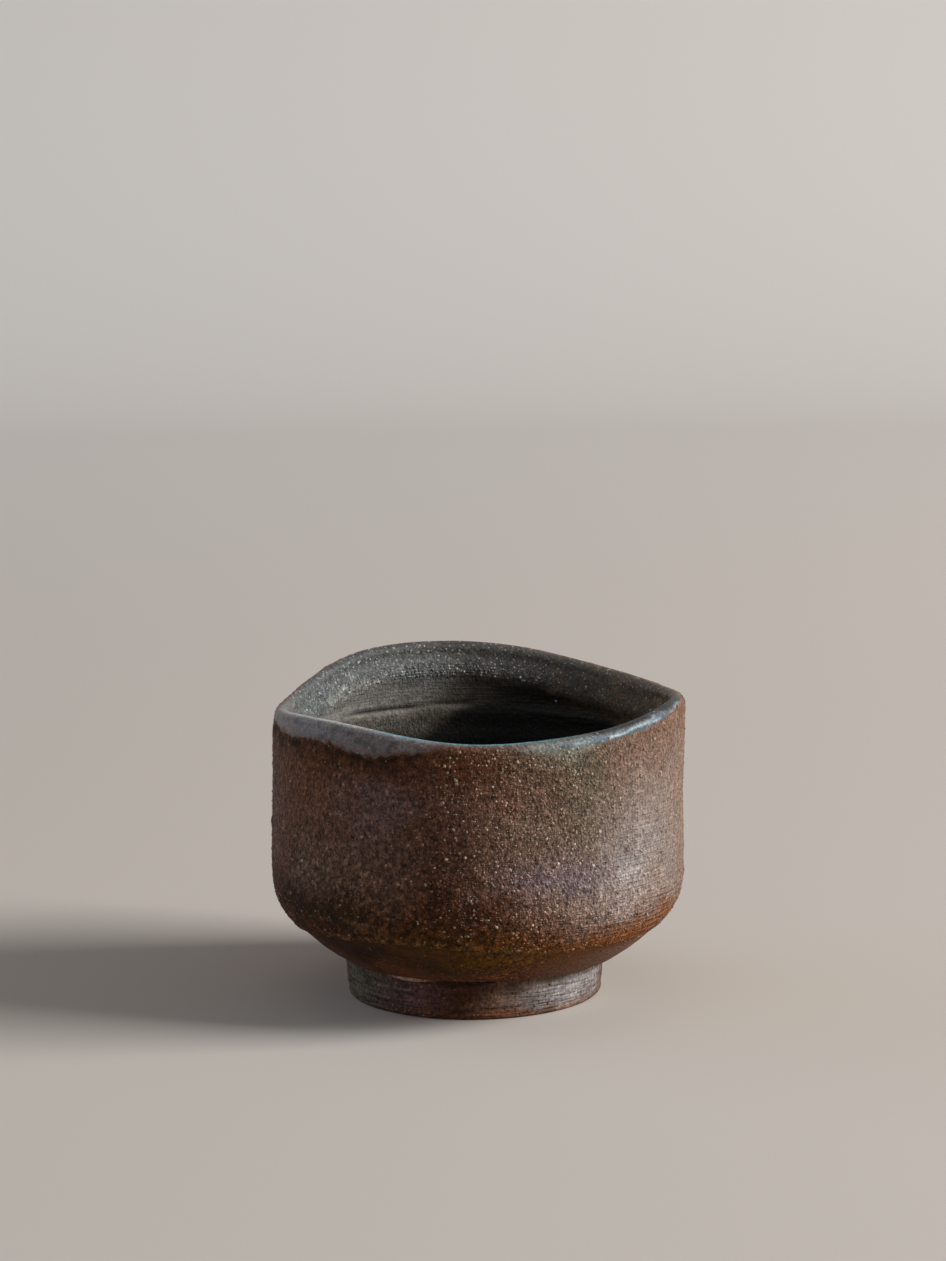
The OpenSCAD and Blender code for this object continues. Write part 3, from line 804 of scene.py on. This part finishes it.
glazeTone = glazeColour(lipSmooth, lipDirection, lipAcross, lipSpare, fired[band])
glassy = 0.3 + 0.3*facing(lipDirection, -40, 30)*(bell(lipAcross, 2, 0.7) - bell(lipAcross, 0.3, 1))
glassy = glassy + 0.3*ease(1.6*wiped(lipDirection))*ease(lipSpare/0.5)*(lipAcross > -0.6) - 0.25*(lipAcross < -1.5)
speckled = 0.1 + 0.9*lipInside + 0.6*facing(lipDirection, -70, 14)
glazeFinish = np.stack([glassy, speckled, 0.15 + 0*glassy], -1)
meltedAsh = stoneware("natural ash glaze", grain=0.5, rise=0.2, dry=0.62, melted=0.2, lineRise=0.05, level=0.4,
                      speckShare=0.3, upright=0.9)
lipAshGlaze = newPiece(
    "lipAshGlaze", glazeGrid.reshape(-1, 3), [ringFaces(len(glazeGrid), net["around"], True)],
    np.concatenate([glazeTone, glazeTone[::-1]]).reshape(-1, 3),
    np.concatenate([glazeFinish, glazeFinish[::-1]]).reshape(-1, 3), meltedAsh)
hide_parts("lip_ash_glaze")


# The foot ring: turned, with brushed trimming lines, two worn edges and a few pits

foot = dict(around=440, side=34, flat=8, arc=6, lines=(9, 0.6, 0.13), lump=(7, 0.07), sand=(0.9, 0.06),
            set=0.05, base="#6a544a")
footPits = [(-56, 3.2, 0.35, 0.3), (-36, 2.0, 0.35, 0.25), (-22, 2.0, 0.3, 0.2), (-118, 3.4, 0.3, 0.15)]
footFlashesAndShade = [
    ((-152, 4), (20, 6), 0.85, "#717a6e"),        # teal-grey, far left
    ((-120, 4), (18, 6), 0.85, "#86727c"),        # purple-grey, brushed
    ((-124, 1.2), (14, 1.5), 0.5, "#4a3a30"),
    ((-94, 4), (15, 6), 0.95, "#4a2a10"),         # dark brown middle
    ((-80, 2.2), (10, 2), 0.7, "#9a7d70"),
    ((-44, 4.2), (25, 4.2), 0.95, "#bfc2c8"),     # silver-grey right
    ((-52, 6.2), (12, 0.9), 0.6, "#7d8786"),
    ((-86, 6.7), (22, 0.5), 0.85, "#1c0f08"),     # painted shade in the joint under the bowl's overhang
    ((-70, 0.5), (60, 0.7), 0.75, "#8d5f3c"),     # orange-brown resting edge
    ((90, 3), (70, 6), 0.5, "#7f6353"),
]


def footOutline():
    # once round the section: up the outside, over the top, down the inside and round both resting edges
    r, t, e = cup["footD"]/2, cup["footTopD"]/2, cup["footEdge"]
    inR = r - cup["footW"]
    u = np.linspace(0, 1, foot["side"])[:, None]
    flat = np.linspace(0, 1, foot["flat"])[:, None]
    b = np.linspace(-90, 0, foot["arc"])[:, None]
    outerEdge = np.hstack([r - e + e*cosd(b), e + e*sind(b)])
    outside = np.array([r, e]) + u*np.array([t - r, cup["footH"] - e])
    top = np.array([t, cup["footH"]]) + flat*np.array([footTopInR - t, 0])
    inner = np.array([footTopInR, cup["footH"]]) + u*np.array([inR - footTopInR, e - cup["footH"]])
    innerEdge = np.hstack([inR + e - e*cosd(b[::-1]), e + e*sind(b[::-1])])
    rest = np.array([inR + e, 0]) + flat*np.array([r - inR - 2*e, 0])
    return np.concatenate([outerEdge, outside[1:], top[1:], inner[1:], innerEdge[1:], rest[1:-1]])


def footRelief(p, a):
    # lines dragged round by the trimming tool, soft lumps, sand and pits, all fading at the seat and the floor
    z = p[..., 2]
    onSide = ease((z - 0.3)/0.6)*ease((cup["footH"] - 0.1 - z)/0.4)
    size, tall, deep = foot["lines"]
    dragged = 1 - 2*np.abs(roughNoise(wrapped(p, size, tall), 1, 31))
    lumps = foot["lump"][1]*roughNoise(p, foot["lump"][0], 32)
    top, own = sandBed(p, foot["sand"][0], 33)
    along = (1 - 0.7*facing(a, -150, 25))
    hollow = sum(rise*np.exp(-((np.radians(turnedAway(a, at))*21)**2 + (z - up)**2)/size**2)
                 for at, up, size, rise in footPits)
    return (deep*dragged*along + lumps + foot["sand"][1]*(top*own - 0.3) - hollow - foot["set"])*onSide


section = footOutline()
footGrid, footDirection = swept(section, 0, foot["around"])
footPoints = footGrid + gridNormals(footGrid)*footRelief(footGrid, footDirection)[..., None]
footTone = marked(linear(foot["base"]), footGrid, footDirection, footGrid[..., 2], footFlashesAndShade, 1.6)
dragged = roughNoise(wrapped(footGrid, foot["lines"][0], foot["lines"][1]), 1, 31)
silver = facing(footDirection, -46, 26)
footTone = footTone*(1 - (0.5 - 0.25*silver)*bell(dragged, 0, 0.12) + 0.4*np.abs(dragged))[..., None]
footFinish = np.stack([0.2 + 0.3*silver, 0.3 + 0*silver, 1 + 0*silver], -1)
footClay = stoneware("turned foot clay", grain=0.5, rise=0.16, dry=0.8, melted=0.42, lineRise=0.6)
footRing = newPiece("footRing", footPoints.reshape(-1, 3), [ringFaces(len(section), foot["around"], True)],
                    footTone.reshape(-1, 3), footFinish.reshape(-1, 3), footClay)
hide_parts("foot_ring")


# The luting slip: squeezed out between foot and bowl, wiped back unevenly with a wet finger

# the base tone is near-black: painted shade under the bowl's overhang; the pale is the slip squeezed out in ridges
slip = dict(around=400, arc=10, inner=6, swell=0.85, base="#2a1a12", pale="#e0d2da")


def slipOutline():
    # the washer's section: under it, round the squeezed-out bead and back over its top
    r, t = cup["footTopD"]/2 + cup["slipBead"], cup["slipT"]
    b = np.linspace(-90, 90, slip["arc"])[:, None]
    bead = np.hstack([r - t/2 + t/2*cosd(b), cup["footH"] + t/2 + t/2*sind(b)])
    inwards = np.linspace(r - t/2, footTopInR, slip["inner"])[:, None]
    top = np.hstack([inwards, jointZ + 0*inwards])
    bottom = np.hstack([inwards[::-1], cup["footH"] + 0*inwards])
    return np.concatenate([bead, top[1:], bottom[:-1]])


slipSection = slipOutline()
slipGrid, slipDirection = swept(slipSection, 0, slip["around"])
atBead = ease((slipSection[:, :1] - cup["footTopD"]/2)/cup["slipBead"])
ridge = facing(slipDirection, -119, 12) + 0.7*facing(slipDirection, -40, 20)
uneven = 0.5*roughNoise(slipGrid, 3, 41) + 0.35*roughNoise(slipGrid, 1.1, 42)
squeezed = atBead*slip["swell"]*(ridge + 0.2*uneven - 0.1)
slipPoints = slipGrid + gridNormals(slipGrid)*squeezed[..., None]
slipPaintedShade = np.broadcast_to(linear(slip["base"]), slipGrid.shape)
slipTone = mixIn(slipPaintedShade, np.clip(ridge, 0, 1), slip["pale"])
slipFinish = np.stack([0.2 + 0*uneven, 0.3 + 0*uneven, 0.4 + 0*uneven], -1)
slipClay = stoneware("wiped luting slip", grain=0.45, rise=0.12)
jointSlip = newPiece("jointSlip", slipPoints.reshape(-1, 3), [ringFaces(len(slipSection), slip["around"], True)],
                     slipTone.reshape(-1, 3), slipFinish.reshape(-1, 3), slipClay)
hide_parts("joint_slip")


# The floor and backdrop: one pale sweep. Only light that bounces off it onto the cup sees it as warm as a
# wooden table, and its back glows a little for the camera, so that it stays pale behind the cup

sweep = dict(front=1600, back=900, bend=350, tall=1600, side=2600, seen="#e6e4df", bounce="#946a36", glow=0.26)


def paleSweep():
    # a flat floor that turns up through a quarter round into an upright back, in mm
    turn = np.linspace(0, 90, 24)
    y = np.concatenate([[-sweep["front"]], sweep["back"] + sweep["bend"]*sind(turn), [sweep["back"] + sweep["bend"]]])
    z = np.concatenate([[0], sweep["bend"] - sweep["bend"]*cosd(turn), [sweep["tall"]]])
    left, right = np.c_[0*y - sweep["side"], y, z], np.c_[0*y + sweep["side"], y, z]
    n = len(y)
    i = np.arange(n - 1)
    mesh = bpy.data.meshes.new("paleSweep")
    quads = np.stack([i, i + n, i + n + 1, i + 1], -1)
    mesh.from_pydata((np.concatenate([left, right])*mm).tolist(), [], quads.tolist())
    mesh.polygons.foreach_set("use_smooth", np.ones(n - 1, bool))
    floor = bpy.data.objects.new("paleSweep", mesh)
    bpy.context.scene.collection.objects.link(floor)
    material = bpy.data.materials.new("pale paper sweep")
    material.use_nodes = True
    tree = material.node_tree
    shader = tree.nodes["Principled BSDF"]
    shader.inputs["Roughness"].default_value = 0.9
    shader.inputs["Specular IOR Level"].default_value = 0.1
    shader.inputs["Emission Color"].default_value = (*linear("#c4ccd2"), 1)
    path = put(tree, "ShaderNodeLightPath")
    seen, bounce = (*linear(sweep["seen"]), 1), (*linear(sweep["bounce"]), 1)
    colour = put(tree, "ShaderNodeMix", {0: path["Is Diffuse Ray"], 6: seen, 7: bounce}, data_type="RGBA")[2]
    place = put(tree, "ShaderNodeTexCoord")["Object"]
    back = put(tree, "ShaderNodeSeparateXYZ", {0: place})[1]
    farBack = put(tree, "ShaderNodeMapRange", {0: back, 1: 0.1, 2: 1.2, 4: sweep["glow"]},
                  interpolation_type="SMOOTHSTEP")[0]
    looked = put(tree, "ShaderNodeMath", {0: path["Is Camera Ray"], 1: path["Is Glossy Ray"]},
                 operation="MAXIMUM")[0]
    looked = put(tree, "ShaderNodeMath", {0: looked, 1: path["Is Transmission Ray"]}, operation="MAXIMUM")[0]
    glow = put(tree, "ShaderNodeMath", {0: looked, 1: farBack}, operation="MULTIPLY")[0]
    tree.links.new(colour, shader.inputs["Base Color"])
    tree.links.new(glow, shader.inputs["Emission Strength"])
    mesh.materials.append(material)


paleSweep()


# Light: a soft window-like lamp low on the right, a weak wide one behind on the left, and a faint cool room

lamps = dict(
    window=dict(azimuth=-8, elevation=30, distance=1.8, wide=0.8, tall=0.6, power=28.6, colour="#fff8f2"),
    doorway=dict(azimuth=162, elevation=24, distance=1.2, wide=1.0, tall=0.7, power=1.6, colour="#e4ecff"))
room = dict(seen="#d3d7da", fill="#a3a09e", level=0.45)
aim = Vector((0, 0, 0.028))
for name, light in lamps.items():
    lamp = bpy.data.objects.new(name, bpy.data.lights.new(name, "AREA"))
    lamp.data.shape = "RECTANGLE"
    lamp.data.size = light["wide"]
    lamp.data.size_y = light["tall"]
    lamp.data.energy = light["power"]
    lamp.data.color = linear(light["colour"])
    bearing, rise = math.radians(light["azimuth"]), math.radians(light["elevation"])
    away = Vector((math.cos(rise)*math.cos(bearing), math.cos(rise)*math.sin(bearing), math.sin(rise)))
    lamp.location = aim + light["distance"]*away
    lamp.rotation_euler = (-away).to_track_quat("-Z", "Y").to_euler()
    bpy.context.scene.collection.objects.link(lamp)

world = bpy.data.worlds.new("room")
bpy.context.scene.world = world
world.use_nodes = True
sky = world.node_tree
path = put(sky, "ShaderNodeLightPath")
shown = put(sky, "ShaderNodeMath", {0: path["Is Camera Ray"], 1: path["Is Glossy Ray"]}, operation="MAXIMUM")[0]
shown = put(sky, "ShaderNodeMath", {0: shown, 1: path["Is Transmission Ray"]}, operation="MAXIMUM")[0]
fill, seen = (*linear(room["fill"])*room["level"], 1), (*linear(room["seen"]), 1)
tone = put(sky, "ShaderNodeMix", {0: shown, 6: fill, 7: seen}, data_type="RGBA")[2]
sky.links.new(tone, sky.nodes["Background"].inputs["Color"])
bpy.context.scene.view_settings.view_transform = "Standard"
print("lit the scene")
